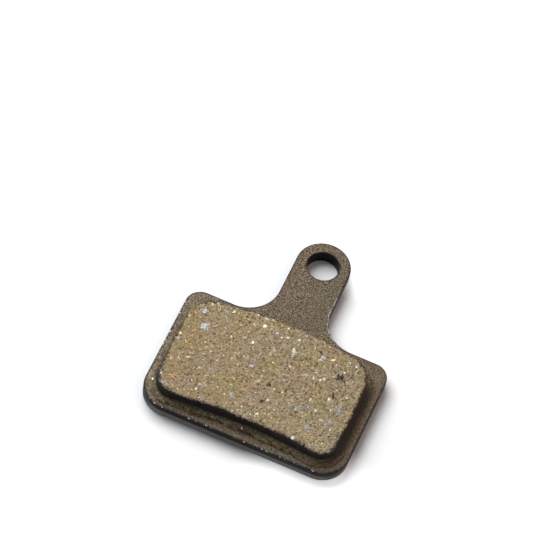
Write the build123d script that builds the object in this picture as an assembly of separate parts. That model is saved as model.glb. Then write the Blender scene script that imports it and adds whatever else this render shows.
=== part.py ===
from build123d import *
from math import radians, sqrt, tan
import os

# Bicycle disc brake pad: a blanked steel backing plate with a block of friction compound moulded on to it.
# Millimetres. The hole axis is the Z axis, the back face lies on Z = 0 and the tab points along +Y.

# Backing plate
plate_thickness = 2.0
plate_width = 29.2
hole_to_bottom = 30.4  # hole axis to the straight bottom edge
hole_to_shoulder = 11.1  # hole axis to the shoulders on both sides of the tab
tab_width = 7.6  # the tab ends in a full round about the hole
hole_diameter = 4.4
bottom_corner_radius = 3.7
shoulder_corner_radius = 2.2
tab_root_radius = 4.75
die_roll_radius = 0.45  # edge that the blanking die rolls over on the back face
face_edge_bevel = 0.12  # edge broken by tumbling, round the friction side
hole_edge_bevel = 0.12  # eased edge at both mouths of the hole

# Friction block, placed by the bare land that it leaves on the plate
block_height = 2.0  # plate face to braking face, as moulded
side_land = 1.7  # bare plate at each side of a block that sits in the middle
bottom_land = 2.3  # bare plate below the middle of the block's bottom edge
shoulder_land = 0.85  # top of the block's crown below the line of the shoulders
mould_offset = -0.25  # how far the moulding sits to one side of the plate's middle
crown_radius = 50.0  # top edge, bowed out as the rotor's outer edge is
hollow_radius = 90.0  # bottom edge, bowed in as the rotor's inner edge is
block_corner_radius = 2.7
wall_draft = 4.0  # degrees from upright, so that the mould lets go
braking_edge_bevel = 0.15  # worn edge round the braking face

# Flash skirt, the thin run-out of compound round the block's foot
skirt_width = 0.85
skirt_thickness = 0.3
skirt_root_radius = 0.3  # fillet between the skirt and the block's wall
skirt_edge_bevel = 0.1


def plate_outline():
    """Rounded plate with a full-round tab and its hole, seen along the hole axis."""
    body_height = hole_to_bottom - hole_to_shoulder
    body_middle = -(hole_to_bottom + hole_to_shoulder) / 2
    body = Pos(0, body_middle) * Rectangle(plate_width, body_height)
    body = fillet(body.vertices().group_by(Axis.Y)[0], bottom_corner_radius)
    body = fillet(body.vertices().group_by(Axis.Y)[-1], shoulder_corner_radius)
    tab = Pos(0, body_middle / 2) * Rectangle(tab_width, -body_middle)
    outline = body + tab + Circle(tab_width / 2)
    left_root = outline.vertices().sort_by_distance((-tab_width / 2, -hole_to_shoulder))[0]
    right_root = outline.vertices().sort_by_distance((tab_width / 2, -hole_to_shoulder))[0]
    outline = fillet([left_root, right_root], tab_root_radius)
    return outline - Circle(hole_diameter / 2)


def backing_plate():
    """Plate with a rolled-over back edge, a lightly broken front edge and an eased hole."""
    plate = extrude(plate_outline(), amount=plate_thickness)
    back, *_, front = plate.faces().filter_by(Axis.Z).sort_by(Axis.Z)
    plate = chamfer(back.inner_wires().edges() + front.inner_wires().edges(), hole_edge_bevel)
    back = plate.faces().sort_by(Axis.Z)[0]
    plate = fillet(back.outer_wire().edges(), die_roll_radius)
    front = plate.faces().sort_by(Axis.Z)[-1]
    return chamfer(front.outer_wire().edges(), face_edge_bevel)


def arc_drop(radius, half_chord):
    """How far an arc falls from its middle to the ends of its chord."""
    return radius - sqrt(radius**2 - half_chord**2)


def braking_face():
    """Outline of the block's top: upright sides between a crowned top and a hollowed bottom edge."""
    half_width = plate_width / 2 - side_land
    crown_middle = -hole_to_shoulder - shoulder_land
    crown_end = crown_middle - arc_drop(crown_radius, half_width)
    hollow_middle = bottom_land - hole_to_bottom
    hollow_end = hollow_middle - arc_drop(hollow_radius, half_width)
    crown = ThreePointArc((-half_width, crown_end), (0, crown_middle), (half_width, crown_end))
    right = Line((half_width, crown_end), (half_width, hollow_end))
    hollow = ThreePointArc((half_width, hollow_end), (0, hollow_middle), (-half_width, hollow_end))
    left = Line((-half_width, hollow_end), (-half_width, crown_end))
    outline = make_face(crown + right + hollow + left)
    return Pos(mould_offset, 0) * fillet(outline.vertices(), block_corner_radius)


def friction_pad():
    """Drafted block that runs out through a root fillet into its flash skirt, on the plate's face."""
    draft_run = block_height * tan(radians(wall_draft))
    foot = offset(braking_face(), draft_run)
    block = extrude(foot, amount=block_height, taper=wall_draft)
    skirt = extrude(offset(foot, skirt_width), amount=skirt_thickness)
    pad = block + skirt
    skirt_face = pad.faces().filter_by(Axis.Z).sort_by(Axis.Z)[1]
    pad = fillet(skirt_face.inner_wires().edges(), skirt_root_radius)
    skirt_face = pad.faces().filter_by(Axis.Z).sort_by(Axis.Z)[1]
    pad = chamfer(skirt_face.outer_wire().edges(), skirt_edge_bevel)
    pad = chamfer(pad.faces().sort_by(Axis.Z)[-1].edges(), braking_edge_bevel)
    return Pos(0, 0, plate_thickness) * pad


os.makedirs("parts", exist_ok=True)
for make_piece in (backing_plate, friction_pad):
    export_step(make_piece(), f"parts/{make_piece.__name__}.step")
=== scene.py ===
import bpy
import math
import numpy as np
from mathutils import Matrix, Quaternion, Vector


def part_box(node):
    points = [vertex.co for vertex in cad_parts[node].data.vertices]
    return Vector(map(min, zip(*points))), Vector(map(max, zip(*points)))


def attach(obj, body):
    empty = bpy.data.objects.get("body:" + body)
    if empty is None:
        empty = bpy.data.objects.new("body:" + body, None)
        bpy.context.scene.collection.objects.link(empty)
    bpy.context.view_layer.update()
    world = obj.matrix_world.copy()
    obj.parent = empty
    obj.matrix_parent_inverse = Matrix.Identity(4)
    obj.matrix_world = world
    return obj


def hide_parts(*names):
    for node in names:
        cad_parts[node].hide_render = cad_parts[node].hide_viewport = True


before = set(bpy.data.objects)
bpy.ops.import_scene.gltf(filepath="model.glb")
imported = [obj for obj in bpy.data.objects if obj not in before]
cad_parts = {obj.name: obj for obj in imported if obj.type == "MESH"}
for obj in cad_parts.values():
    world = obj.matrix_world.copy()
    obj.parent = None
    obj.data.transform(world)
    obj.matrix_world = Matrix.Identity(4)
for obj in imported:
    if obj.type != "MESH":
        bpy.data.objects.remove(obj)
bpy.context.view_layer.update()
mm = 0.001  # sizes below are in millimetres, meshes in metres
white = (1, 1, 1, 1)
plateLow, plateHigh = (np.array(corner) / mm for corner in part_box("backing_plate"))
padLow, padHigh = (np.array(corner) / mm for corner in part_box("friction_pad"))
print("frame loaded, nodes:", ", ".join(sorted(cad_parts)))


# camera: a long lens from the side of the bottom edge, a little rolled
cameraView = {
    "aim": (-6.918, -3.546, 2.0),  # in the middle of the picture
    "distance": 541.6,
    "azimuth": 13.05,  # degrees from -Y towards +X
    "elevation": 56.29,
    "roll": 11.76,
    "pictureSide": 533,  # pixels
    "focalLength": 4000,  # pixels
    "sensor": 36.0,
    "clip": (0.01, 10.0),  # metres
}


def placeCamera(view):
    # at its distance from the aim along the line of sight, rolled about that line
    azimuth, elevation = math.radians(view["azimuth"]), math.radians(view["elevation"])
    level = math.cos(elevation)
    back = Vector((math.sin(azimuth) * level, -math.cos(azimuth) * level, math.sin(elevation)))
    roll = Quaternion((0, 0, 1), math.radians(view["roll"]))
    data = bpy.data.cameras.new("padCamera")
    data.sensor_width = view["sensor"]
    data.lens = view["focalLength"] / view["pictureSide"] * view["sensor"]
    data.clip_start, data.clip_end = view["clip"]
    camera = bpy.data.objects.new("padCamera", data)
    camera.rotation_mode = "QUATERNION"
    camera.rotation_quaternion = back.to_track_quat("Z", "Y") @ roll
    camera.location = (Vector(view["aim"]) + back * view["distance"]) * mm
    bpy.context.scene.collection.objects.link(camera)
    bpy.context.scene.camera = camera
    return camera


def underPixels(pixels, height):
    # rays through the picture's pixels, each met with the level plane at that height
    half, focal = cameraView["pictureSide"] / 2, cameraView["focalLength"]
    local = np.column_stack([pixels - half, np.full(len(pixels), focal)]) * (1, -1, -1) / focal
    rays = local @ np.array(padCamera.rotation_quaternion.to_matrix()).T
    start = np.array(padCamera.location) / mm
    return (start + rays * ((height - start[2]) / rays[:, 2])[:, None])[:, :2]


padCamera = placeCamera(cameraView)
print("camera placed")


# fields of numbers that the surfaces are shaped with
def eased(values, start, full):
    # 0 up to the start, 1 from the full end, smooth between
    share = np.clip((values - start) / (full - start), 0, 1)
    return share * share * (3 - 2 * share)


def roughField(points, cell, seed):
    # random heights from -1 to 1 on a cubic lattice, blended smoothly between its eight corners
    size = 48
    table = np.random.default_rng(seed).uniform(-1, 1, (size, size, size))
    if points.shape[1] == 2:
        points = np.column_stack([points, np.zeros(len(points))])
    corner = np.floor(points / cell).astype(int)
    share = eased(points / cell - corner, 0, 1)
    total = np.zeros(len(points))
    for step in np.ndindex(2, 2, 2):
        weight = np.where(step, share, 1 - share).prod(axis=1)
        total += weight * table[tuple(((corner + step) % size).T)]
    return total


def unevenness(points, waves):
    # a sum of rough fields, each given by its height, cell and seed
    return sum(height * roughField(points, cell, seed) for height, cell, seed in waves)


def scatteredSpots(points, cell, seed):
    # one spot somewhere in each square: distance to the nearest, and its random number
    size = 128
    table = np.random.default_rng(seed).random((size, size, 3))
    place = points / cell
    home = np.floor(place).astype(int)
    nearest, number = np.full(len(points), np.inf), np.zeros(len(points))
    for step in np.ndindex(3, 3):
        square = home + np.array(step) - 1
        drawn = table[tuple((square % size).T)]
        gap = np.hypot(*(place - square - drawn[:, :2]).T)
        number = np.where(gap < nearest, drawn[:, 2], number)
        nearest = np.minimum(gap, nearest)
    return nearest * cell, number


def roundPatches(points, patches):
    # a sum of round patches, each with its place, reach and most
    gaps = (np.hypot(*(points - (x, y)).T) for x, y, _, _ in patches)
    return sum(most * eased(gap, reach, 0) for gap, (_, _, reach, most) in zip(gaps, patches))


def slopeOf(distance, points):
    # unit vectors along which a distance field rises, by central differences
    reach, tiny = 0.01, 1e-9
    alongX = distance(points + (reach, 0)) - distance(points - (reach, 0))
    alongY = distance(points + (0, reach)) - distance(points - (0, reach))
    slope = np.column_stack([alongX, alongY])
    return slope / np.maximum(np.hypot(alongX, alongY), tiny)[:, None]


# outlines as distances: negative inside, zero on the outline, in millimetres
plateShape = {
    "shoulder": -11.1,  # Y of the shoulders beside the tab
    "bottomCorner": 3.7,
    "shoulderCorner": 2.2,
    "tabRoot": 4.75,
    "holeRadius": 2.2,
}
blockShape = {
    "skirtWidth": 0.85,
    "draftRun": 0.14,  # from the top's edge out to the foot's
    "hollowMiddle": -28.1,  # Y of the bottom edge's middle
    "crown": 50.0,
    "hollow": 90.0,
    "corner": 2.7,
}


def roundCornered(sideGap, endGap, radius):
    # distances to two sides make one to their rounded corner
    sideGap, endGap = sideGap + radius, endGap + radius
    outside = np.hypot(np.maximum(sideGap, 0), np.maximum(endGap, 0))
    return outside + np.minimum(np.maximum(sideGap, endGap), 0) - radius


def plateDistance(points, shape=plateShape):
    # a rounded rectangle and a round-ended tab, joined by fillets at the tab's root
    x, y = points.T
    low, high, root = plateLow[1], shape["shoulder"], shape["tabRoot"]
    middle = (low + high) / 2
    radius = np.where(y < middle, shape["bottomCorner"], shape["shoulderCorner"])
    body = roundCornered(np.abs(x) - plateHigh[0], np.abs(y - middle) - (high - low) / 2, radius)
    tab = np.maximum(np.hypot(x, np.maximum(y, 0)) - plateHigh[1], middle - y)
    fillet = np.hypot(np.maximum(root - body, 0), np.maximum(root - tab, 0))
    return np.maximum(root, np.minimum(body, tab)) - fillet


def holeDistance(points):
    # positive inside the hole, where the plate has ended
    return plateShape["holeRadius"] - np.hypot(*points.T)


def platePlan(points):
    # the plate without its hole: the further out of the two distances
    return np.maximum(plateDistance(points), holeDistance(points))


def blockDistance(points, shape=blockShape):
    # upright sides, a top edge bowed out and a bottom edge bowed in, with rounded corners
    margin = shape["skirtWidth"] + shape["draftRun"]
    x = points[:, 0] - (padLow[0] + padHigh[0]) / 2
    y = points[:, 1]
    side = np.abs(x) - (padHigh[0] - padLow[0]) / 2 + margin
    crown = np.hypot(x, y - (padHigh[1] - margin - shape["crown"])) - shape["crown"]
    hollow = shape["hollow"] - np.hypot(x, y - (shape["hollowMiddle"] - shape["hollow"]))
    return roundCornered(side, np.maximum(crown, hollow), shape["corner"])


# meshes
cutRule = {
    "kept": 0.35,  # depth of a kept cell's middle, in grid steps
    "sure": 4,  # deeper or further out than any raggedness
    "slides": 6,
    "slideShare": 0.9,
}


def spread(mask):
    # a mask grown by one cell along rows and columns
    wide = mask.copy()
    wide[1:] |= mask[:-1]
    wide[:-1] |= mask[1:]
    wide[:, 1:] |= mask[:, :-1]
    wide[:, :-1] |= mask[:, 1:]
    return wide


def reached(start, within):
    # cells to be walked to from the start without leaving the allowed ones
    area, grown = start & within, spread(start) & within
    while (grown != area).any():
        area, grown = grown, spread(grown) & within
    return area


def cutSheet(distance, low, high, step, rule=cutRule):
    # a square grid cut along distance zero: cells inside stay, and the rim's points slide on to the outline
    x, y = np.meshgrid(*(np.arange(a - step, b + 2 * step, step) for a, b in zip(low, high)), indexing="ij")
    middles = np.column_stack([(axis[:-1, :-1] + axis[1:, 1:]).ravel() for axis in (x, y)]) / 2
    depth = distance(middles).reshape(x.shape[0] - 1, -1)
    sure = rule["sure"] * step
    keep = reached(depth < -sure, depth < -rule["kept"] * step)  # islands go
    keep = ~reached(depth > sure, ~keep)  # and holes close
    crossed = np.ones(1, bool)
    while crossed.any():  # two cells that meet only at a corner get their neighbours
        a, b, c, d = keep[:-1, :-1], keep[1:, :-1], keep[:-1, 1:], keep[1:, 1:]
        crossed = (a & d & ~b & ~c) | (b & c & ~a & ~d)
        for corner in (a, b, c, d):
            corner |= crossed
    index = np.arange(x.size).reshape(x.shape)
    quads = np.stack([index[:-1, :-1], index[1:, :-1], index[1:, 1:], index[:-1, 1:]], axis=-1)[keep]
    used, quads = np.unique(quads, return_inverse=True)
    quads = quads.reshape(-1, 4)
    points = np.column_stack([x.ravel(), y.ravel()])[used]
    starts, ends = quads.ravel(), np.roll(quads, -1, axis=1).ravel()
    alone = ~np.isin(starts * len(points) + ends, ends * len(points) + starts)
    rim = np.column_stack([starts[alone], ends[alone]])
    rimPoints = np.unique(rim)
    for _ in range(rule["slides"]):
        onRim = points[rimPoints]
        slide = slopeOf(distance, onRim) * distance(onRim)[:, None]
        points[rimPoints] = onRim - rule["slideShare"] * slide
    return points, quads, rim, rimPoints


def carriedRows(rim, rimPoints, sheetCount, rowCount):
    # quads from the sheet's rim on through the rows carried from it
    ring = np.searchsorted(rimPoints, rim)
    added = np.arange(rowCount * len(rimPoints)).reshape(rowCount, -1)
    ids = np.vstack([rimPoints, sheetCount + added])
    start, end = ids[:, ring[:, 0]], ids[:, ring[:, 1]]
    quads = np.stack([end[:-1], start[:-1], start[1:], end[1:]], axis=-1).reshape(-1, 4)
    return quads, ids[-1], np.column_stack([start[-1], end[-1]])


def quarterTurn(rows):
    # angles of the rows that carry a rim round a quarter circle
    return np.linspace(0, math.pi / 2, rows + 1)[1:, None]


def laidFlat(edge, outward, offsets, heights):
    # plan places of a wall's rows, laid flat round the sheet by their profile's length
    across = np.diff(np.vstack([np.zeros(len(edge)), offsets]), axis=0)
    down = np.diff(np.vstack([heights[:1], heights]), axis=0)
    run = np.cumsum(np.hypot(across, down), axis=0)
    return (edge + outward * run[..., None]).reshape(-1, 2)


def onMap(places, scale, corner):
    # plan places scaled and moved to their corner of the texture map
    return places * scale + corner


def meshFrom(name, points, quads, triangles, mapping, attributes):
    # arrays put into a mesh, smooth if it has a texture map and faceted if not
    mesh = bpy.data.meshes.new(name)
    corners = np.concatenate([quads.ravel(), triangles.ravel()]).astype(np.int32)
    counts = np.concatenate([np.full(len(quads), 4), np.full(len(triangles), 3)]).astype(np.int32)
    mesh.vertices.add(len(points))
    mesh.vertices.foreach_set("co", (points * mm).astype(np.float32).ravel())
    mesh.loops.add(len(corners))
    mesh.loops.foreach_set("vertex_index", corners)
    mesh.polygons.add(len(counts))
    mesh.polygons.foreach_set("loop_start", (np.cumsum(counts) - counts).astype(np.int32))
    mesh.polygons.foreach_set("use_smooth", np.full(len(counts), mapping is not None))
    mesh.update(calc_edges=True)
    if mapping is not None:
        layer = mesh.uv_layers.new(name="OFBake")
        layer.data.foreach_set("uv", mapping.astype(np.float32).ravel())
    for label, values in attributes.items():
        attribute = mesh.attributes.new(label, "FLOAT", "POINT")
        attribute.data.foreach_set("value", values.astype(np.float32))
    mesh.validate()
    piece = bpy.data.objects.new(name, mesh)
    bpy.context.scene.collection.objects.link(piece)
    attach(piece, "root")
    print(name, "made with", len(quads) * 2 + len(triangles), "triangles")
    return piece


# shader maths
def rgb(red, green, blue):
    # picture colours 0-255 made linear
    values = np.array([red, green, blue]) / 255
    return (*np.where(values > 0.04045, ((values + 0.055) / 1.055) ** 2.4, values / 12.92), 1.0)


class Wire:
    # a socket whose arithmetic adds Math nodes
    def __init__(self, finish, socket):
        self.finish, self.socket = finish, socket

    def other(self, label):
        return Wire(self.finish, self.socket.node.outputs[label])

    def math(self, operation, first, second):
        return self.finish.node("Math", {"operation": operation}, {0: first, 1: second})

    def __add__(self, other):
        return self.math("ADD", self, other)

    __radd__ = __add__

    def __sub__(self, other):
        return self.math("SUBTRACT", self, other)

    def __rsub__(self, other):
        return self.math("SUBTRACT", other, self)

    def __mul__(self, other):
        return self.math("MULTIPLY", self, other)

    __rmul__ = __mul__

    def between(self, start, full):
        # 0 up to the start, 1 from the full end, eased between; the start may be the higher
        return self.finish.node("MapRange", {"interpolation_type": "SMOOTHSTEP"},
                                {"Value": self, "From Min": start, "From Max": full})


class Finish:
    # the nodes of a material or of the world
    def __init__(self, owner, tones=None):
        self.owner, self.tones = owner, tones or {}
        owner.use_nodes = True
        self.tree = owner.node_tree
        self.tree.nodes.clear()

    def node(self, kind, settings, sockets):
        # a node with its settings and inputs, as a wire from its first output
        made = self.tree.nodes.new("ShaderNode" + kind)
        for label, value in settings.items():
            if label == "stops":
                ramp = made.color_ramp.elements
                while len(ramp) < len(value):
                    ramp.new(1.0)
                for stop, (place, colour) in zip(ramp, value):
                    stop.position, stop.color = place, colour
            else:
                setattr(made, label, value)
        for label, value in sockets.items():
            usable = [s for s in made.inputs if s.enabled and s.name == label]
            socket = made.inputs[label] if isinstance(label, int) else usable[0]
            if isinstance(value, Wire):
                self.tree.links.new(value.socket, socket)
            else:
                socket.default_value = value
        return Wire(self, next((s for s in made.outputs if s.enabled), None))

    def place(self):
        # object coordinates in millimetres
        coords = self.node("TexCoord", {}, {}).other("Object")
        return self.node("VectorMath", {"operation": "SCALE"}, {"Vector": coords, "Scale": 1 / mm})

    def zones(self, place, zones):
        # each is a share times eased steps, given by axis, start and full end
        axes = self.node("SeparateXYZ", {}, {"Vector": place})
        return {name: math.prod((axes.other(axis).between(*ends) for axis, *ends in steps), start=share)
                for name, (share, *steps) in zones.items()}

    def patterns(self, place, patterns):
        # each is a kind of pattern, its repeats in a millimetre and further numbers
        return {name: getattr(self, kind)(place, *numbers) for name, (kind, *numbers) in patterns.items()}

    def noise(self, place, scale, detail=2.0, roughness=0.5):
        sockets = {"Vector": place, "Scale": scale, "Detail": detail, "Roughness": roughness}
        return self.node("TexNoise", {}, sockets)

    def streaks(self, place, scale, detail, stretch):
        # noise stretched along the axes
        place = self.node("VectorMath", {"operation": "MULTIPLY"}, {0: place, 1: stretch})
        return self.noise(place, scale, detail)

    def dots(self, place, scale, randomness):
        # distance to the nearest scattered dot in plan
        sockets = {"Vector": place, "Scale": scale, "Randomness": randomness}
        return self.node("TexVoronoi", {"voronoi_dimensions": "2D"}, sockets)

    def cells(self, place, scale):
        # one random number for each cell of a Voronoi pattern
        colour = self.node("TexVoronoi", {}, {"Vector": place, "Scale": scale}).other("Color")
        return self.node("SeparateColor", {}, {"Color": colour})

    def ramp(self, value, stops):
        # picture colours along a value
        stops = [(place, rgb(*tone)) for place, tone in stops]
        return self.node("ValToRGB", {"stops": stops}, {"Fac": value})

    def mix(self, share, *colours):
        # from the first colour to the second; each is a wire, a picture colour or a tone's name
        colours = (self.tones.get(colour, colour) for colour in colours)
        first, second = (colour if isinstance(colour, Wire) else rgb(*colour) for colour in colours)
        return self.node("Mix", {"data_type": "RGBA"}, {"Factor": share, "A": first, "B": second})

    def tinted(self, colour, pattern, low, high):
        # a colour made warmer or cooler by a pattern, about as bright as before
        stops = [(0.35, (*low, 1)), (0.5, white), (0.65, (*high, 1))]
        tint = self.node("ValToRGB", {"stops": stops}, {"Fac": pattern})
        settings = {"data_type": "RGBA", "blend_type": "MULTIPLY"}
        return self.node("Mix", settings, {"Factor": 1.0, "A": colour, "B": tint})

    def attribute(self, label):
        return self.node("Attribute", {"attribute_name": label}, {}).other("Fac")

    def surface(self, sockets):
        shader = self.node("BsdfPrincipled", {}, sockets)
        self.node("OutputMaterial", {}, {"Surface": shader})
        return self.owner


# backing plate: flat faces, a broken front edge, a rolled back edge and a fine blasted grain
plateBuild = {
    "step": 0.14,  # grid of the faces
    "frontEdge": 0.12, "holeEdge": 0.12, "dieRoll": 0.45,
    "holeReach": 0.6,  # round the hole
    "turnRows": 5,
    "sideRows": (0.37, 0.56),  # shares of the way down the straight side
    "grain": ((1.0, 0.24, 11), (0.7, 0.16, 12)),  # share, cell and seed
    "grainHeight": 0.006, "grainMean": 1.7,
    "grainStart": (0.12, 0.52),  # from the edge inwards
    "backPull": 1.3,  # where the back's grid is drawn in
    "faceRows": (0.75, 0.35, 0.1),  # face finish on the rim's first rows
    "rubbedReflectedRows": (0.9, 1, 1, 1, 1, 0.8),  # worn paint and a painted reflection of the floor on its last rows
    "rubbedReflectedTurn": (-0.75, -0.25),  # not on left-hand sides, by the X of the way they face
    "sparedTurn": (1 / 3, 2 / 3),  # and half as much on right-hand ones
    "lightFrom": (-0.8, -0.6),
    "frontMap": ((0.01875, 0.025), (0.04875, 0.065)),  # scale and corner on the texture map
    "backMap": (0.0078125, (0.7, 0.3)),
    "patterns": {  # kind, repeats in a millimetre and further numbers
        "speck": ("cells", 9.4), "glint": ("cells", 6.0), "dots": ("dots", 4.4, 0.85),
        "tone": ("noise", 8.0), "cloud": ("noise", 0.3), "hue": ("noise", 0.45), "worn": ("noise", 2.4),
        "blotch": ("noise", 1.3, 3.0, 0.6), "streak": ("streaks", 1.6, 3.0, (0.35, 3.0, 3.0))},
    "zones": {  # share, then axis, start and full end of each step
        "paleShoulder": (0.1, ("X", -3.0, -13.5), ("Y", -17.0, -12.5)),
        "paleCorner": (0.12, ("X", -10.5, -12.5), ("X", -9.0, -12.0), ("Y", -27.0, -28.5)),
        "leftSide": (1, ("X", -13.2, -13.9), ("Y", -28.0, -25.0), ("Y", -12.5, -14.0)),
        "lowest": (1, ("Y", -27.0, -28.5)),
        "warmRight": (0.4, ("X", 8.0, 13.0)),
        "greenTab": (0.13, ("X", 0.0, 3.0), ("Y", -12.0, -9.5)),
        "spareLeft": (0.75, ("X", -12.2, -13.2)),
        "spareTop": (0.75, ("Y", -14.6, -13.2)),
        "cleanRight": (0.6, ("X", 12.5, 13.2), ("Y", -23.5, -26.5)),
        "leftCorner": (0.85, ("X", -10.5, -12.5), ("Y", -27.0, -28.5)),
        "rightCorner": (0.85, ("X", 10.5, 12.5), ("Y", -27.0, -28.5)),
        "tabRoot": (1, ("X", 2.5, 3.5), ("Y", -11.3, -10.3), ("Y", -1.5, -4.0)),
        "rightLine": (0.06, ("X", 13.5, 14.0))},
    "blasted": ((0.05, (46, 34, 20)), (0.3, (86, 72, 55)), (0.55, (110, 96, 79)), (0.8, (129, 115, 98)),
                (1.0, (166, 152, 135))),
    "tones": {"cloud": (97, 84, 66), "warm": (108, 90, 74), "stain": (52, 42, 29), "lowEdge": (92, 88, 86),
              "glint": (240, 236, 228), "dullGlint": (196, 190, 180), "paint": (12, 11, 12),
              "streak": (22, 20, 20), "rubbed": (122, 119, 116)},
    "tints": ((1.04, 0.985, 0.98), (0.97, 1.015, 0.99)),
}


def nearHole(points):
    # where the hole's own edge holds
    return holeDistance(points) > -plateBuild["holeReach"]


def makePlate(build):
    # a cut sheet whose rim is carried round to the back, which is the same sheet drawn in
    thick = plateHigh[2]

    def frontPlan(points):
        return platePlan(points) + np.where(nearHole(points), build["holeEdge"], build["frontEdge"])

    points, quads, rim, rimPoints = cutSheet(frontPlan, plateLow[:2], plateHigh[:2], build["step"])
    count, edge = len(points), points[rimPoints]
    outward = slopeOf(platePlan, edge)
    bevel = np.where(nearHole(edge), build["holeEdge"], build["frontEdge"])
    roll = np.where(nearHole(edge), build["holeEdge"], build["dieRoll"])
    # rim profile: quarter turn, straight side, quarter turn
    turn, side = quarterTurn(build["turnRows"]), np.array(build["sideRows"])[:, None]
    offsets = np.vstack([bevel * np.sin(turn), bevel + 0 * side, bevel - roll * (1 - np.cos(turn))])
    sideHeights = (thick - bevel) + side * (roll - thick + bevel)
    heights = np.vstack([thick - bevel * (1 - np.cos(turn)), sideHeights, roll * (1 - np.sin(turn))])
    rows = np.dstack([edge + outward * offsets[..., None], heights]).reshape(-1, 3)
    sides, lastRow, _ = carriedRows(rim, rimPoints, count, len(offsets))
    # back face: the front's grid drawn in to where the rolled edge begins
    gap = -platePlan(points)
    fromRim = -plateDistance(points) - build["frontEdge"]
    pull = (build["dieRoll"] - build["frontEdge"]) * eased(fromRim, build["backPull"], 0)
    back = np.column_stack([points - slopeOf(plateDistance, points) * pull[:, None], np.zeros(count)])
    inner = np.setdiff1d(np.arange(count), rimPoints)
    backIds = np.arange(count)
    backIds[inner] = count + len(rows) + np.arange(len(inner))
    backIds[rimPoints] = lastRow
    backQuads = backIds[quads][:, ::-1]
    grain = build["grainHeight"] * (build["grainMean"] + unevenness(points, build["grain"]))
    front = np.column_stack([points, thick - grain * eased(gap, *build["grainStart"])])
    allPoints = np.vstack([front, rows, back[inner]])
    # for the paint: share of the face's finish, distance from the edge, rubbing with a painted reflection,
    # and facing towards the light for painted highlights
    faceRows, rubbedReflectedRows = np.zeros(len(offsets)), np.zeros(len(offsets))
    faceRows[:len(build["faceRows"])] = build["faceRows"]
    rubbedReflectedRows[-len(build["rubbedReflectedRows"]):] = build["rubbedReflectedRows"]
    share = np.concatenate([np.ones(count), np.repeat(faceRows, len(rimPoints)), np.zeros(len(inner))])
    width = np.concatenate([gap, np.zeros(len(rows)), gap[inner]])
    # paler rolled edge: rubbing wear and a painted reflection of the floor, none round the hole or on
    # left-hand sides, half on right-hand ones
    rubbedReflectedSide = ~nearHole(edge) * eased(outward[:, 0], *build["rubbedReflectedTurn"])
    rubbedReflectedSide = rubbedReflectedSide * (1 - 0.5 * eased(outward[:, 0], *build["sparedTurn"]))
    rubbed = np.concatenate([np.zeros(count), np.outer(rubbedReflectedRows, rubbedReflectedSide).ravel(), np.zeros(len(inner))])
    plan = allPoints[:, :2]
    # which way the rim faces towards the light, for painted highlights; none round the hole
    facing = np.where(nearHole(plan), -1, slopeOf(plateDistance, plan) @ build["lightFrom"])
    skirtGap = blockDistance(plan) - blockShape["skirtWidth"] - blockShape["draftRun"]
    # texture map: the front with its sides laid out round it, and the back smaller beside it
    flat = np.vstack([points, laidFlat(edge, outward, offsets, heights)])
    frontMap = onMap(flat - plateLow[:2], *build["frontMap"])
    backMap = onMap(plan - plateLow[:2], *build["backMap"])
    mapping = np.vstack([frontMap[quads], frontMap[sides], backMap[backQuads]])
    return meshFrom("padPlate", allPoints, np.vstack([quads, sides, backQuads]), np.empty((0, 3), int),
                    mapping, {"faceShare": share, "edgeGap": width, "rubbedEdge": rubbed,
                              "rimFacing": facing, "skirtGap": skirtGap})


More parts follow.
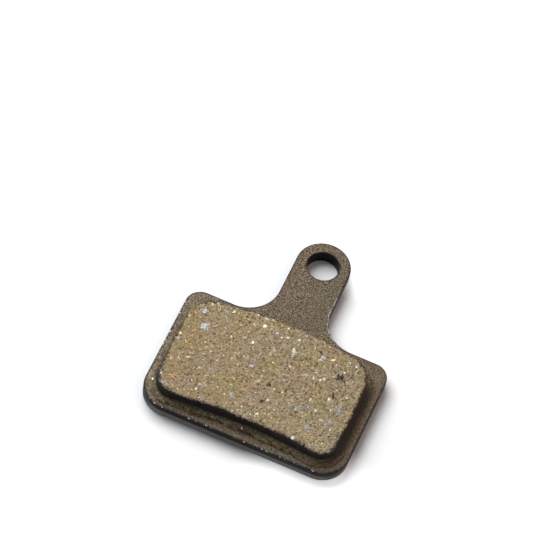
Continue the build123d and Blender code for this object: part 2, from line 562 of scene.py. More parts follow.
def platePaint(build):
    # a sparkling grain on the friction side, and black paint on the rim and the back
    finish = Finish(bpy.data.materials.new("platePaint"), build["tones"])
    place = finish.place()
    pattern, zone = finish.patterns(place, build["patterns"]), finish.zones(place, build["zones"])
    gap, tone, speck = finish.attribute("edgeGap"), pattern["tone"], pattern["speck"]
    # paler on the left shoulder and the lower left corner, and on a ridge inside the left-hand edge
    ridge = zone["leftSide"] * gap.between(0.2, 0.32) * gap.between(0.8, 0.5) * 0.22
    grains = speck * 0.75 + tone * 0.9 - pattern["dots"] + 0.125
    blasted = finish.ramp(grains + zone["paleShoulder"] + zone["paleCorner"] + ridge, build["blasted"])
    blasted = finish.mix(pattern["cloud"].between(0.35, 0.7) * 0.25, blasted, "cloud")
    blasted = finish.mix(zone["warmRight"], blasted, "warm")
    blasted = finish.tinted(blasted, pattern["hue"] + zone["greenTab"], *build["tints"])
    # dark residue with painted shade of the block on the face beside the block's skirt, spared on the left,
    # the top, the right and the low corners
    stain = finish.attribute("skirtGap").between(0.72, -0.1)
    stain = stain * (0.35 + 0.65 * pattern["blotch"].between(0.44, 0.56))
    for name in ("spareLeft", "spareTop", "cleanRight", "leftCorner", "rightCorner"):
        stain = stain * (1 - zone[name])
    blasted = finish.mix(stain * 0.52, blasted, "stain")
    # greyer along the low edge, where the paint begins: worn paint with a painted cool sheen
    blasted = finish.mix(gap.between(0.6, 0.15) * zone["lowest"] * 0.5, blasted, "lowEdge")
    # painted highlights: near-white specks along edges that face the light, most on the right of the tab's
    # root, where they are duller
    facing = finish.attribute("rimFacing").between(-0.75, 0.3) + zone["tabRoot"]
    paintedGlints = gap.between(0.3, 0.12) * (pattern["glint"] + zone["tabRoot"] * 0.5).between(0.91, 0.96) * facing
    blasted = finish.mix(paintedGlints, blasted, finish.mix(zone["tabRoot"], "glint", "dullGlint"))
    # black paint with faint rubbing streaks, paler on the rolled edge from handling wear and a painted
    # reflection of the floor
    paint = finish.mix(pattern["streak"].between(0.45, 0.75), "paint", "streak")
    paint = finish.mix(finish.attribute("rubbedEdge") * (0.5 + tone * 0.6), paint, "rubbed")
    # the paint laps on to the face in a worn line
    line = (gap - zone["lowest"] * 0.08 + zone["rightLine"]).between(0.27, 0.13)
    line = line * (0.6 + 0.4 * pattern["worn"].between(0.35, 0.6)) * (1 - zone["leftSide"] * 0.5)
    cover = finish.attribute("faceShare").between(0.3, 0.75) * (1 - line * (1 - paintedGlints) * 0.85)
    bump = finish.node("Bump", {}, {"Strength": 0.35, "Distance": 0.02 * mm, "Height": tone + speck * 0.6})
    return finish.surface({
        "Base Color": finish.mix(cover, paint, blasted), "Normal": bump, "Specular IOR Level": 0.1,
        "Roughness": 0.42 + cover * 0.26 + pattern["streak"] * 0.08})


padPlate = makePlate(plateBuild)
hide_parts("backing_plate")
padPlate.data.materials.append(platePaint(plateBuild))


# friction block: granular top with a ragged edge, drafted walls and a thin skirt at the foot
blockBuild = {
    "step": 0.085,
    "raggedEdge": ((0.08, 0.18, 21), (0.06, 0.7, 22), (0.10, 2.6, 23)),  # height, cell and seed
    "wornPlaces": (  # place, reach and loss, where the edge is worn more or less
        (12.3, -14.6, 3.0, 0.25), (12.8, -25.9, 3.0, 0.38), (10.2, -28.5, 1.6, -0.25), (5.7, -28.2, 2.0, 0.2),
        (-3.3, -28.2, 2.4, 0.22), (-8.0, -28.6, 2.0, -0.13), (-11.0, -28.8, 2.2, 0.2),
        (-12.4, -28.0, 3.4, 0.36)),
    "askew": 0.02,  # radians that the worn top is turned on its foot
    "topDrop": 0.045, "dropLimits": (0.002, 0.4),  # below the braking plane
    "roughTop": ((0.014, 0.17, 31), (0.010, 0.5, 32)),
    "pits": {"cell": 0.42, "seed": 33, "share": 0.5, "radius": (0.06, 0.15), "depth": (0.03, 0.08)},
    "grains": {"cell": 0.26, "seed": 34, "radius": 0.16, "height": 0.03},
    "crumble": {"drop": 0.16, "width": 0.3, "waves": ((0.5, 0.3, 35),)},
    "wallRows": (0.06, 0.14, 0.24, 0.36, 0.5, 0.66, 0.84, 1.0),  # shares of the way down
    "evening": 4,  # how fast the ragged edge evens out
    "lumps": ((0.035, 0.45, 26),),
    "rootRadius": 0.3, "rootRows": 4,
    "skirtHeight": 0.3,
    "skirtRows": (0.3, 0.6, 0.85, 1.0),  # shares of the way out
    "skirtFall": (0.2, 1.5),  # drop at its end, and power of the curve
    "ripples": ((0.03, 0.4, 27),),
    "raggedSkirt": ((0.16, 1.1, 24), (0.10, 0.4, 25)),
    "skirtEnd": ((0.03, 0.04), (0.02, 0.0)),  # offset and height of the last rows
    "rowZones": (0, 0, 0, 0, 0, 0.15, 0.35, 0.6, 0.75, 0.85, 0.95, 1),  # 0 on the wall, 1 where the root ends
    "topMap": (1 / 34, 2.6 / 34), "underMap": (0.25 / 34, (0.1, 0.78)),
    "patterns": {  # kind, repeats in a millimetre and further numbers
        "speck": ("cells", 4.6), "fleck": ("cells", 7.5), "grain": ("cells", 6.4),
        "tone": ("noise", 2.6, 4.0, 0.62), "cloud": ("noise", 0.16), "shade": ("noise", 1.1),
        "yellow": ("noise", 0.35, 3.0), "green": ("noise", 0.24, 3.0), "edge": ("noise", 1.5),
        "wall": ("noise", 1.2, 3.0), "mottle": ("noise", 4.6, 3.0, 0.6), "blotch": ("noise", 1.4, 3.0, 0.6),
        "fray": ("streaks", 4.0, 2.0, (1.0, 1.0, 0.2))},
    "zones": {  # share, then axis, start and full end of each step
        "paleLowRight": (0.08, ("Y", -24.5, -27.5), ("X", 0.0, 8.0)),
        "warmLeft": (0.3, ("X", 2.0, -12.0)),
        "coolTop": (0.8, ("Y", -17.5, -14.0)),
        "lowEdge": (1, ("Y", -24.0, -26.5)),
        "grime": (1, ("X", 11.6, 12.6), ("Y", -14.5, -16.5)),
        "brownWall": (0.7, ("X", 11.6, 12.6), ("Y", -14.5, -16.5), ("Y", -24.0, -18.0)),
        "leftSkirt": (1, ("X", -12.3, -12.9), ("Y", -27.5, -26.0)),
        "lowLeftSkirt": (1, ("X", -10.0, -11.5), ("Y", -26.0, -27.5)),
        "dustyTurn": (0.24, ("X", -12.7, -13.3), ("Y", -28.8, -27.4), ("Y", -24.5, -26.0)),
        "dustyLow": (0.07, ("X", 1.0, -4.0), ("Y", -26.0, -27.5)),
        "cleanLow": (0.65, ("X", 7.5, 9.0), ("Y", -26.0, -27.5)),
        "cleanRight": (0.6, ("X", 12.9, 13.3)),
        "thinLow": (0.7, ("Y", -25.5, -28.0)),
        "openLow": (0.35, ("X", -10.0, -11.5), ("Y", -26.0, -27.5), ("X", -11.8, -12.8)),
        "hiddenLow": (0.25, ("X", -12.4, -11.4), ("X", 2.0, -4.0))},
    "pressed": ((0.02, (92, 76, 45)), (0.25, (130, 114, 83)), (0.5, (152, 135, 104)), (0.75, (171, 154, 123)),
                (1.0, (207, 190, 159))),
    "skirtTones": ((0.1, (48, 38, 24)), (0.45, (94, 80, 58)), (0.75, (120, 105, 81)), (1.0, (160, 146, 121))),
    "tones": {"warm": (158, 129, 94), "shade": (112, 95, 64), "pit": (60, 45, 20), "edge": (132, 123, 113),
              "wall": (16, 12, 10), "paleWall": (31, 24, 18), "brownWall": (50, 32, 14),
              "dirt": (35, 26, 14), "grime": (34, 22, 9)},
    "yellowTints": ((1, 1, 1.11), (1, 1, 0.89)), "greenTints": ((1.03, 0.98, 1), (0.975, 1.015, 1)),
}


def raggedDistance(points, build=blockBuild):
    # the worn top's outline, turned by a small angle about the block's middle
    turned = points + build["askew"] * (points - (padLow + padHigh)[:2] / 2)[:, ::-1] * (1, -1)
    loss = roundPatches(points, build["wornPlaces"])
    return blockDistance(turned) + loss + unevenness(points, build["raggedEdge"])


def topRelief(points, build=blockBuild):
    # depth below the braking plane: fine grain, round pits, raised grains and a crumbled edge
    look = build["pits"]
    gap, pit = scatteredSpots(points, look["cell"], look["seed"])
    radius = look["radius"][0] + look["radius"][1] * pit * pit
    depth = look["depth"][0] + look["depth"][1] * pit
    pits = np.where(pit > look["share"], eased(gap, radius, 0), 0) * depth
    look = build["grains"]
    gap, grain = scatteredSpots(points, look["cell"], look["seed"])
    grains = eased(gap, look["radius"], 0) * look["height"] * grain
    look = build["crumble"]
    crumbled = look["drop"] * (0.5 + unevenness(points, look["waves"]))
    edge = eased(raggedDistance(points), -look["width"], 0) * crumbled
    fine = unevenness(points, build["roughTop"])
    return np.clip(build["topDrop"] + fine + pits - grains + edge, *build["dropLimits"])


def makeBlock(build, shape):
    # a cut sheet with relief, whose rim is carried down the wall and out over the skirt
    top, foot = padHigh[2], padLow[2]
    points, quads, rim, rimPoints = cutSheet(raggedDistance, padLow[:2], padHigh[:2], build["step"])
    count, edge = len(points), points[rimPoints]
    relief = topRelief(points)
    outward, lost = slopeOf(blockDistance, edge), blockDistance(edge)
    edgeTop = top - relief[rimPoints]
    # wall profile: the ragged edge evens out down a drafted wall, then root fillet, skirt and its end
    root, skirt = build["rootRadius"], foot + build["skirtHeight"]
    down, across = (np.array(build[rows])[:, None] for rows in ("wallRows", "skirtRows"))
    wallHeights = edgeTop + (skirt + root - edgeTop) * down
    lumps = [unevenness(np.column_stack([edge, height]), build["lumps"]) for height in wallHeights]
    draft = shape["draftRun"] * (top - wallHeights) / (top - foot)
    wallOffsets = lost * np.exp(-build["evening"] * down) + draft + lumps * eased(down, 0, 1 / 3)
    turn = quarterTurn(build["rootRows"])
    rootOffsets = wallOffsets[-1] + root * (1 - np.cos(turn))
    rootHeights = skirt + root * (1 - np.sin(turn)) + 0 * lost
    reach = shape["draftRun"] + shape["skirtWidth"] + unevenness(edge, build["raggedSkirt"])
    skirtOffsets = rootOffsets[-1] + (reach - rootOffsets[-1]) * across
    ripples = [unevenness(edge + outward * offset[:, None], build["ripples"]) for offset in skirtOffsets]
    fall, power = build["skirtFall"]
    skirtHeights = skirt - fall * across**power + ripples
    endOffsets, endHeights = np.array(build["skirtEnd"]).T[..., None] + 0 * lost
    offsets = np.vstack([wallOffsets, rootOffsets, skirtOffsets, reach + endOffsets]) - lost
    heights = np.vstack([wallHeights, rootHeights, skirtHeights, foot + endHeights])
    rows = np.dstack([edge + outward * offsets[..., None], heights]).reshape(-1, 3)
    sides, _, lastRim = carriedRows(rim, rimPoints, count, len(offsets))
    pole = np.append((padLow + padHigh)[:2] / 2, foot)
    allPoints = np.vstack([np.column_stack([points, top - relief]), rows, pole])
    under = np.column_stack([lastRim[:, ::-1], np.full(len(lastRim), len(allPoints) - 1)])
    # for the compound: 0 on top and wall to 2 at the skirt's end, and distance from the edge
    rowSkirt = np.concatenate([build["rowZones"], 1 + across.ravel(), np.full(len(endOffsets), 2)])
    skirtShare = np.concatenate([np.zeros(count), np.repeat(rowSkirt, len(rimPoints)), [2]])
    edgeGap = np.concatenate([-raggedDistance(points), np.zeros(len(rows) + 1)])
    # texture map: the top with its wall and skirt laid out round it, and the underside small beside it
    flat = np.vstack([points, laidFlat(edge, outward, offsets, heights)])
    topMap = onMap(flat - padLow[:2], *build["topMap"])
    underMap = onMap(allPoints[:, :2] - padLow[:2], *build["underMap"])
    mapping = np.vstack([part.reshape(-1, 2) for part in (topMap[quads], topMap[sides], underMap[under])])
    return meshFrom("frictionBlock", allPoints, np.vstack([quads, sides]), under, mapping,
                    {"drop": top - allPoints[:, 2], "skirtShare": skirtShare, "edgeGap": edgeGap})


def frictionCompound(build):
    # pressed grains on the top, a dark wall, and grains like the plate's on the skirt
    finish = Finish(bpy.data.materials.new("frictionCompound"), build["tones"])
    place = finish.place()
    pattern, zone = finish.patterns(place, build["patterns"]), finish.zones(place, build["zones"])
    drop, skirt = finish.attribute("drop"), finish.attribute("skirtShare")
    tone, fleck, blotch = pattern["tone"], pattern["fleck"], pattern["blotch"]
    grains = pattern["speck"] * 0.55 + fleck * 0.25 + tone * 0.7 - 0.235
    pressed = finish.ramp(grains + zone["paleLowRight"], build["pressed"])
    warm = pattern["cloud"].between(0.45, 0.65) * 0.15 + zone["warmLeft"] * (1 - zone["coolTop"])
    pressed = finish.mix(warm, pressed, "warm")
    pressed = finish.mix(pattern["shade"].between(0.58, 0.72) * 0.35, pressed, "shade")
    pressed = finish.tinted(pressed, pattern["yellow"], *build["yellowTints"])
    pressed = finish.tinted(pressed, pattern["green"], *build["greenTints"])
    # darker where the top lies deeper, as in its pits and crumbled edge: painted shade, with dust
    pressed = finish.mix(drop.between(0.05, 0.14) * 0.8, pressed, "pit")
    # greyer where the low edge is rounded off: worn, with a painted cool sheen
    rounded = finish.attribute("edgeGap").between(0.55, 0.0) * zone["lowEdge"]
    rounded = rounded * (0.35 + 0.4 * pattern["edge"].between(0.35, 0.6))
    pressed = finish.mix(rounded, pressed, "edge")
    # torn fibres fray the line between the top and the dark wall, which is browner on the right
    wall = finish.mix(pattern["wall"].between(0.4, 0.75), "wall", "paleWall")
    wall = finish.mix(zone["brownWall"], wall, "brownWall")
    wallShare = (drop + pattern["fray"] * 0.8).between(0.5, 0.66)
    colour = finish.mix(wallShare, pressed, wall)
    # thin skirt: grains in darker tones, with dark blotches that hide its root and its end
    leftSkirts = zone["leftSkirt"] + zone["lowLeftSkirt"]
    dusty = leftSkirts * skirt.between(1.4, 1.8) * 0.15 + zone["dustyTurn"] * skirt.between(1.1, 1.4)
    grains = pattern["grain"] * 0.6 + pattern["mottle"] * 1.15 - 0.385
    skirtColour = finish.ramp(grains + dusty + zone["dustyLow"], build["skirtTones"])
    dirt = blotch.between(0.44, 0.56) * (0.35 + 0.65 * skirt.between(1.1, 1.8)) * (1 - leftSkirts * 0.5)
    dirt = dirt * (1 - zone["cleanLow"]) * (1 - zone["cleanRight"])
    skirtColour = finish.mix(dirt * 0.85, skirtColour, "dirt")
    # painted shadow of the block on the right-hand skirt, fading in blotches towards the skirt's end and the
    # bottom
    shadowFading = (skirt + blotch * 1.4 + zone["thinLow"]).between(2.3, 2.65)
    skirtColour = finish.mix(zone["grime"] * (0.85 - shadowFading * 0.7), skirtColour, "grime")
    hidden = zone["leftSkirt"] * 0.3 - zone["openLow"] + zone["hiddenLow"]
    colour = finish.mix((skirt + blotch * 0.6 - hidden).between(0.75, 1.15), colour, skirtColour)
    bump = finish.node("Bump", {}, {"Strength": 0.4, "Distance": 0.03 * mm, "Height": tone + fleck * 0.5})
    return finish.surface({
        "Base Color": colour, "Normal": bump, "Specular IOR Level": 0.18,
        "Roughness": 0.78 - wallShare * 0.2 + tone * 0.1})


frictionBlock = makeBlock(blockBuild, blockShape)
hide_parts("friction_pad")
frictionBlock.data.materials.append(frictionCompound(blockBuild))


# flecks bedded in the compound
fleckBuild = {
    "sides": 7,
    "cornerShift": 0.3,  # of a corner from its even place, in sides
    "cornerReach": (0.7, 1.05),  # of the way out to the ellipse
    "footSpread": 1.15,
    "depth": 0.12,
    "proud": 0.012,
    "deepest": 0.06,  # as far down as a chip follows the relief
    "crown": 0.02,
    "ringGap": 0.003,  # left free below the braking plane
    "crownGap": 0.002,
    "edgeMargin": 0.25,  # strewn ones keep this far inside
    "onBlock": 0.3,  # further out, a fleck is a stray on the skirt
    "strayLevel": 0.29,  # above the plate's face
    "seenLevel": padHigh[2] - 0.04,  # height that the picture's ellipses are read at
    "straySeenLevel": plateHigh[2] + 0.25,
}

# one dictionary for each kind; a seen fleck or stray is picture x, y, width and height in pixels, strewn ones
# have their count, longest and shortest size, least slimness and seed, and shards their count, sizes and seed
paleChips = {
    "seen": [
        (252.5, 342, 4, 5), (264.8, 326.1, 5, 4), (231.1, 336.8, 2.5, 3.5), (218.4, 303.6, 3, 3),
        (254.6, 324.1, 2, 2), (205.4, 342, 2, 2), (210.7, 351.5, 2, 2), (199.5, 367.6, 2.5, 3),
        (196, 388.7, 2.5, 2.5), (191.8, 379.6, 2, 2.5), (171.1, 357.8, 3, 5), (217.7, 386.6, 2, 2),
        (237.7, 364.8, 2, 2.5), (244, 356.4, 2, 3), (247.9, 356.8, 2, 2.5), (217, 360.3, 2, 2),
        (287.9, 338.1, 4, 3), (281.9, 337.7, 2.5, 2.5), (299.4, 340.1, 2.5, 2.5), (293.9, 350.9, 4, 6),
        (267.5, 318.6, 5, 2.5), (258.8, 315.4, 2.5, 2.5), (290.3, 366.4, 2.5, 2.5), (320.2, 380, 3, 3),
        (313.4, 378.4, 2.5, 2.5), (350.1, 363.2, 2.5, 2.5), (356.5, 367, 2.5, 2.5), (336.5, 365.2, 1.7, 1.9),
        (328.9, 399.9, 3, 5), (267.5, 400.3, 4, 2.5), (282.3, 392.3, 2.5, 2.5), (346.9, 397.9, 2.5, 2.5),
        (315.4, 410.7, 2.5, 2.5), (262, 376, 2, 2), (292.8, 437.4, 4.6, 4), (250, 414.2, 2, 2),
        (241.8, 406.6, 2, 2)],
    "strewn": (210, 0.28, 0.07, 0.4, 51),
    "strays": [(241.7, 428, 1.7, 2.6)],
    "lean": 0.2, "seed": 61,
    "dark": (196, 184, 158), "light": (252, 248, 238), "cell": 3.0, "roughness": 0.4,
}
beigeFibres = {
    "seen": [
        (257.7, 380.4, 6.5, 6), (261.7, 376.2, 4, 3), (263.8, 371, 4, 3), (284, 380, 4, 3),
        (271.5, 351.6, 3, 5)],
    "strewn": (800, 0.6, 0.1, 0.15, 56),
    "lean": 0.15, "seed": 66,
    "dark": (156, 140, 110), "light": (202, 187, 157), "cell": 3.0, "roughness": 0.6,
}
silverFlakes = {
    "seen": [
        (204.9, 327, 10.5, 10.5), (204.6, 310, 7, 7.5), (178.2, 338.3, 4, 4), (251.4, 365.2, 5.5, 5.5),
        (232.1, 394.6, 5.5, 6), (293.5, 354.4, 4, 7), (277.5, 332.9, 4.5, 4.5), (323, 358, 5, 4),
        (199, 383.9, 3, 3)],
    "shards": (16, (0.1, 0.3), 71),
    "strewn": (70, 0.4, 0.12, 0.4, 52),
    "lean": 0.35, "seed": 62,
    "dark": (102, 96, 96), "light": (212, 209, 211), "cell": 9.0, "roughness": 0.3, "metallic": 0.1,
}
greyFlakes = {
    "seen": [
        (334.8, 410.6, 4.4, 6), (336.4, 414, 5, 4), (339.8, 414.2, 4.4, 3.6), (336.8, 407.2, 5, 3.6),
        (340.6, 407.6, 4.4, 3.6), (338.2, 410.8, 5, 5), (343.3, 413.1, 3, 3), (341, 373.4, 3.4, 3),
        (309, 406.7, 5.5, 7), (299.8, 408.7, 6.5, 5), (289.4, 405.2, 8, 4.6), (290.7, 393.5, 5, 4),
        (330, 423.6, 7.5, 10), (307.7, 428.6, 9, 8.5), (313.8, 446, 6.5, 5), (261.2, 391.9, 4.5, 3.5),
        (163.3, 381.3, 5, 5.5), (209.8, 369.8, 8.5, 4.5), (207.9, 354.4, 5, 5.5), (201, 385.5, 4.5, 3.5)],
    "shards": (16, (0.1, 0.3), 73),
    "lean": 0.35, "seed": 67,
    "dark": (86, 78, 73), "light": (168, 160, 154), "cell": 9.0, "roughness": 0.35, "metallic": 0.1,
}
brassFlecks = {
    "seen": [
        (178.8, 357.1, 2.5, 2.5), (188.2, 356.8, 5, 2), (192.1, 390.1, 2.5, 2.5), (224.4, 394.3, 2.5, 3),
        (161.8, 373.2, 3, 3), (180.5, 332.5, 3, 5), (189.6, 315.8, 2.5, 3), (225.4, 310.4, 2.5, 2.5),
        (233.9, 311.8, 5, 3), (212.5, 304.6, 4, 2.5), (239.1, 313.6, 2.5, 2.5), (206.8, 346.9, 2.5, 2.5),
        (273.1, 362.4, 2.5, 2.5), (320.6, 360, 5.5, 3.5), (332.9, 360, 7, 3), (324.2, 380.4, 3, 6),
        (344.6, 372.7, 2.5, 2.2), (346.9, 383.4, 2, 4.5), (310.6, 400.3, 3.8, 4.6), (320.2, 420.6, 3.2, 3.6),
        (273.9, 389.1, 2.5, 2.5), (256, 392.7, 2.5, 2.5), (273.5, 320.4, 2.5, 2.5), (288.3, 328.5, 2.5, 2.5),
        (330.1, 347.3, 2.5, 2.5), (330.2, 430.6, 2.6, 5), (256.8, 413.5, 4, 3)],
    "strewn": (150, 0.32, 0.08, 0.3, 53),
    "strays": [(152.4, 378, 2.3, 6)],
    "lean": 0.3, "seed": 63,
    "dark": (168, 150, 94), "light": (242, 226, 166), "cell": 5.0, "roughness": 0.35, "metallic": 0.2,
}
copperFibres = {
    "seen": [
        (194.2, 330.1, 5, 3), (186.5, 341.7, 3, 5.5), (214.6, 325.9, 8, 3), (241.2, 325.5, 6, 3.5),
        (170.3, 376.9, 4, 4), (172.2, 376.3, 3, 4), (173.9, 378, 3, 4), (175.5, 379.6, 3, 3.5),
        (174.3, 373.9, 3, 4), (175.6, 375.3, 3, 4), (276.8, 370.2, 6.5, 5), (206.4, 375.4, 5.5, 5),
        (231.8, 358.2, 3, 5.5), (243.6, 389.5, 9, 3.6), (256.3, 314.2, 4, 3), (234.2, 377.8, 5.5, 3.5),
        (283.1, 326, 6, 5), (272.7, 328.1, 3, 2.5), (291.1, 362, 3, 2.5), (292.2, 400.8, 10, 7.5),
        (252.7, 403.5, 4.4, 5.5), (255.6, 401.1, 3, 2)],
    "slim": 0.65,
    "strewn": (110, 0.6, 0.12, 0.12, 54),
    "lean": 0.15, "seed": 64,
    "dark": (146, 109, 70), "light": (200, 156, 106), "cell": 3.0, "roughness": 0.4, "metallic": 0.1,
}
slateGrains = {
    "seen": [
        (342.4, 377.4, 6, 5), (338.8, 376.6, 5.4, 5), (341.4, 376.2, 5, 5), (336.8, 379.2, 4.4, 2),
        (343.8, 375.2, 3, 2.4), (344.4, 381.4, 1.9, 4.4), (342.2, 380.3, 2.6, 1.8), (333, 393.6, 2.7, 9),
        (268.7, 385.1, 5, 4), (261.2, 401.1, 5, 4), (321, 352.8, 3, 3), (295.9, 411.9, 3, 3)],
    "shards": (9, (0.2, 0.5), 72),
    "lean": 0.2, "seed": 68,
    "dark": (28, 22, 20), "light": (100, 87, 77), "cell": 7.0, "roughness": 0.7, "gloss": 0.12,
}
darkGrains = {
    "strewn": (260, 0.42, 0.1, 0.4, 55),
    "seen": [
        (333.9, 378.4, 3, 1.6), (349, 375.8, 3.8, 2.4), (345.4, 384, 1.7, 2.8), (341, 369.5, 3, 1.7),
        (344.6, 369.2, 1.9, 2.3), (335.9, 372.6, 2, 3), (353, 379.3, 2.4, 1.4)],
    "lean": 0.2, "seed": 65,
    "dark": (44, 33, 16), "light": (92, 75, 46), "cell": 3.0, "roughness": 0.6,
}


def seenFlecks(seen, height, slim=1.0):
    # middles and half axes in plan, from ellipses that were read off the picture
    seen = np.array(seen, float)
    middle = underPixels(seen[:, :2], height)
    along = underPixels(seen[:, :2] + seen[:, 2:3] * (0.5, 0), height) - middle
    across = underPixels(seen[:, :2] - seen[:, 3:4] * (0, 0.5), height) - middle
    return middle, along, across * slim


def strewnFlecks(count, longest, shortest, slimness, seed):
    # middles all over the block and half axes at random turns, mostly small
    draw = np.random.default_rng(seed)
    middle = draw.uniform(padLow[:2], padHigh[:2], (count, 2))
    half = shortest + (longest - shortest) * draw.random(count) ** 3
    turn = draw.uniform(0, 2 * math.pi, count)
    slim = half * draw.uniform(slimness, 1, count)
    along = np.column_stack([np.cos(turn), np.sin(turn)]) * half[:, None] / 2
    across = np.column_stack([-np.sin(turn), np.cos(turn)]) * slim[:, None] / 2
    inside = blockDistance(middle) < -fleckBuild["edgeMargin"]
    return middle[inside], along[inside], across[inside]


def shattered(flecks, count, sizes, seed):
    # each fleck as a chip with smaller shards strewn over it
    middle, along, across = flecks
    draw = np.random.default_rng(seed)
    turn = draw.uniform(0, 2 * math.pi, (len(middle), count, 1))
    far = draw.random((len(middle), count, 1))
    places = middle[:, None] + (along[:, None] * np.cos(turn) + across[:, None] * np.sin(turn)) * far
    size = draw.uniform(*sizes, (2, len(middle), count, 1))
    shards = places, along[:, None] * size[0], across[:, None] * size[1]
    return joined(flecks, [part.reshape(-1, 2) for part in shards])


def joined(*groups):
    # middles, long and short half axes of several groups, one after the other
    return [np.vstack(parts) for parts in zip(*groups)]


def gathered(kind, build=fleckBuild):
    # all flecks of one kind, in the order of its dictionary
    groups = []
    for source in kind:
        if source == "seen":
            groups.append(seenFlecks(kind["seen"], build["seenLevel"], kind.get("slim", 1.0)))
        elif source == "shards":
            groups[-1] = shattered(groups[-1], *kind["shards"])
        elif source == "strewn":
            groups.append(strewnFlecks(*kind["strewn"]))
        elif source == "strays":
            groups.append(seenFlecks(kind["strays"], build["straySeenLevel"]))
    return joined(*groups)


def makeFlecks(name, kind, build=fleckBuild):
    # many-cornered chips with a wider foot below the surface, each leaning its own way
    middle, along, across = gathered(kind)
    count, sides, top = len(middle), build["sides"], padHigh[2]
    draw = np.random.default_rng(kind["seed"])
    shift = draw.uniform(-build["cornerShift"], build["cornerShift"], (count, sides))
    turn = (np.arange(sides) + shift) * 2 * math.pi / sides
    radius = draw.uniform(*build["cornerReach"], (count, sides))
    corner = np.dstack([np.cos(turn) * radius, np.sin(turn) * radius])
    local = along[:, None] * corner[..., :1] + across[:, None] * corner[..., 1:]
    level = top - np.minimum(topRelief(middle), build["deepest"]) + build["proud"]
    level = np.where(blockDistance(middle) < build["onBlock"], level, plateHigh[2] + build["strayLevel"])
    foot = level - build["depth"]
    slope = draw.uniform(-kind["lean"], kind["lean"], (count, 1, 2))
    rise = np.minimum(level[:, None] + (local * slope).sum(axis=2), top - build["ringGap"])
    crown = np.minimum(level + draw.uniform(0, build["crown"], count), top - build["crownGap"])
    topRing = np.dstack([middle[:, None] + local, rise])
    lowLevel = np.repeat(foot[:, None], sides, axis=1)
    lowRing = np.dstack([middle[:, None] + local * build["footSpread"], lowLevel])
    topMiddle = np.column_stack([middle, crown])
    lowMiddle = np.column_stack([middle, foot])
    points = np.concatenate([topRing, lowRing, topMiddle[:, None], lowMiddle[:, None]], axis=1)
    now, after = np.arange(sides), (np.arange(sides) + 1) % sides
    first = (np.arange(count) * (2 * sides + 2))[:, None, None]
    quads = (np.column_stack([sides + now, sides + after, after, now]) + first).reshape(-1, 4)
    topFan = np.column_stack([np.full(sides, 2 * sides), now, after])
    lowFan = np.column_stack([np.full(sides, 2 * sides + 1), sides + after, sides + now])
    triangles = (np.vstack([topFan, lowFan]) + first).reshape(-1, 3)
    return meshFrom(name, points.reshape(-1, 3), quads, triangles, None, {})


def fleckFinish(name, kind):
    # each chip has its own tone from a cell pattern, finely mottled
    finish = Finish(bpy.data.materials.new(name.removesuffix("s")))
    place = finish.place()
    tone = finish.cells(place, kind["cell"]) * 0.7 + finish.noise(place, kind["cell"] * 2) * 0.3
    return finish.surface({
        "Base Color": finish.mix(tone.between(0.1, 0.9), kind["dark"], kind["light"]),
        "Roughness": kind["roughness"] + tone * 0.15, "Metallic": kind.get("metallic", 0.0),
        "Specular IOR Level": kind.get("gloss", 0.5)})


fleckKinds = {
    "paleChips": paleChips, "beigeFibres": beigeFibres, "silverFlakes": silverFlakes,
    "greyFlakes": greyFlakes, "brassFlecks": brassFlecks, "copperFibres": copperFibres,
    "slateGrains": slateGrains, "darkGrains": darkGrains,
}
for name, kind in fleckKinds.items():
    makeFlecks(name, kind).data.materials.append(fleckFinish(name, kind))


# floor, backdrop and light
floorLook = {
    "radius": 2000.0, "below": 0.02,  # the floor lies a hair under the plate
    "sides": 160, "rings": 48, "ringStep": 1.0,  # fine rings about the middle of the plate
    "middle": (0.0, -13.4),
    "tone": 0.97,  # of the matte floor; lifts and pools are added glow
    "lifts": ((0.15, 0.3, 2.8), (0.15, 4.0, 24.0)),  # most, start and full end, away from the plate; the first glows from close by and lightens the plate's shadow
    "pools": ((14.4, -30.2, 7.0, 0.55), (7.0, -32.0, 7.0, 0.5), (5.0, 1.8, 4.5, 0.65)),  # place, reach, most of glowing pools, painted light that thins the plate's shadow round its lower right corner and beside its tab
}
lampLook = {  # places and sizes in metres
    "key": (-0.37, 0.27, 0.43), "keySize": 0.75, "keyPower": 6.4, "keyColour": (0.97, 0.99, 1.0),
    "fill": (0.5, 0.12, 0.3), "fillSize": 0.3, "fillPower": 0.42, "fillColour": (1.0, 0.52, 0.24),
    "aim": (0.0, -0.015, 0.0),
    "sky": 0.21, "skyColour": (0.9, 0.96, 1.0, 1.0),
}


def seenDirectly(finish):
    # 1 for what the camera sees by itself, in a reflection or through something clear
    path = finish.node("LightPath", {}, {})
    mirrored = path.math("MAXIMUM", path.other("Is Glossy Ray"), path.other("Is Transmission Ray"))
    return path.math("MAXIMUM", path.other("Is Camera Ray"), mirrored)


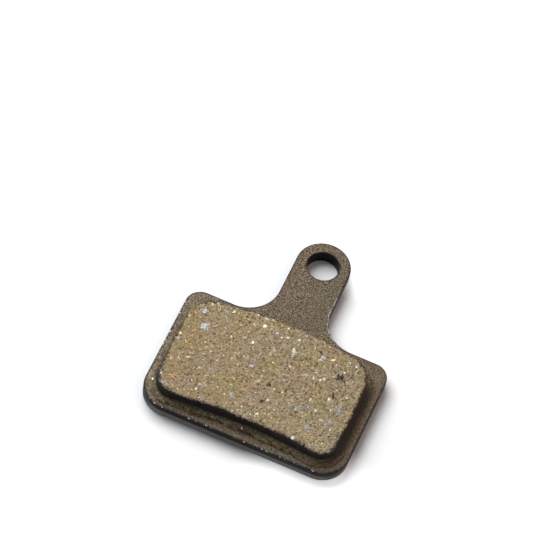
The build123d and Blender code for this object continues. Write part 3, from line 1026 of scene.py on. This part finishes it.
def makeFloor(look):
    # a wide level disc of rings, whose points hold how much they glow
    sides = look["sides"]
    turn = np.linspace(0, 2 * math.pi, sides, endpoint=False)
    radius = np.append(np.arange(1, look["rings"] + 1) * look["ringStep"], look["radius"])
    circle = np.column_stack([np.cos(turn), np.sin(turn)])
    points = (radius[:, None, None] * circle + look["middle"]).reshape(-1, 2)
    now, after = np.arange(sides), (np.arange(sides) + 1) % sides
    first = (np.arange(len(radius) - 1) * sides)[:, None, None]
    quads = (np.column_stack([now, now + sides, after + sides, after]) + first).reshape(-1, 4)
    mesh = bpy.data.meshes.new("studioFloor")
    level = np.full(len(points), -look["below"])
    mesh.from_pydata((np.column_stack([points, level]) * mm).tolist(), [], [now.tolist()] + quads.tolist())
    gap = plateDistance(points)
    lift = sum(most * eased(gap, start, full) for most, start, full in look["lifts"])
    lift = lift + roundPatches(points, look["pools"])
    mesh.attributes.new("lift", "FLOAT", "POINT").data.foreach_set("value", lift.astype(np.float32))
    floor = bpy.data.objects.new("studioFloor", mesh)
    bpy.context.scene.collection.objects.link(floor)
    finish = Finish(bpy.data.materials.new("studioFloor"))
    matte = finish.node("BsdfDiffuse", {}, {"Color": (look["tone"],) * 3 + (1,)})
    whiter = seenDirectly(finish) * finish.attribute("lift")
    glow = finish.node("Emission", {}, {"Color": white, "Strength": whiter})
    finish.node("OutputMaterial", {}, {"Surface": finish.node("AddShader", {}, {0: matte, 1: glow})})
    mesh.materials.append(finish.owner)


def lamp(name, place, size, power, colour):
    # a round soft lamp that faces the pad
    data = bpy.data.lights.new(name, "AREA")
    data.shape, data.size, data.energy, data.color = "DISK", size, power, colour
    light = bpy.data.objects.new(name, data)
    light.location = place
    light.rotation_mode = "QUATERNION"
    light.rotation_quaternion = (Vector(place) - Vector(lampLook["aim"])).to_track_quat("Z", "Y")
    bpy.context.scene.collection.objects.link(light)


def makeSky(strength, colour):
    # white where it is seen, and an even dimmer and cooler light for the rest
    finish = Finish(bpy.data.worlds.new("studioSky"))
    seen = seenDirectly(finish)
    level = strength + seen * (1 - strength)
    tint = finish.node("Mix", {"data_type": "RGBA"}, {"Factor": seen, "A": colour, "B": white})
    sky = finish.node("Background", {}, {"Color": tint, "Strength": level})
    finish.node("OutputWorld", {}, {"Surface": sky})
    bpy.context.scene.world = finish.owner


makeFloor(floorLook)
for name in ("key", "fill"):
    lamp(name + "Lamp", *(lampLook[name + part] for part in ("", "Size", "Power", "Colour")))
makeSky(lampLook["sky"], lampLook["skyColour"])
bpy.context.scene.view_settings.view_transform = "Standard"
print("floor and light placed")
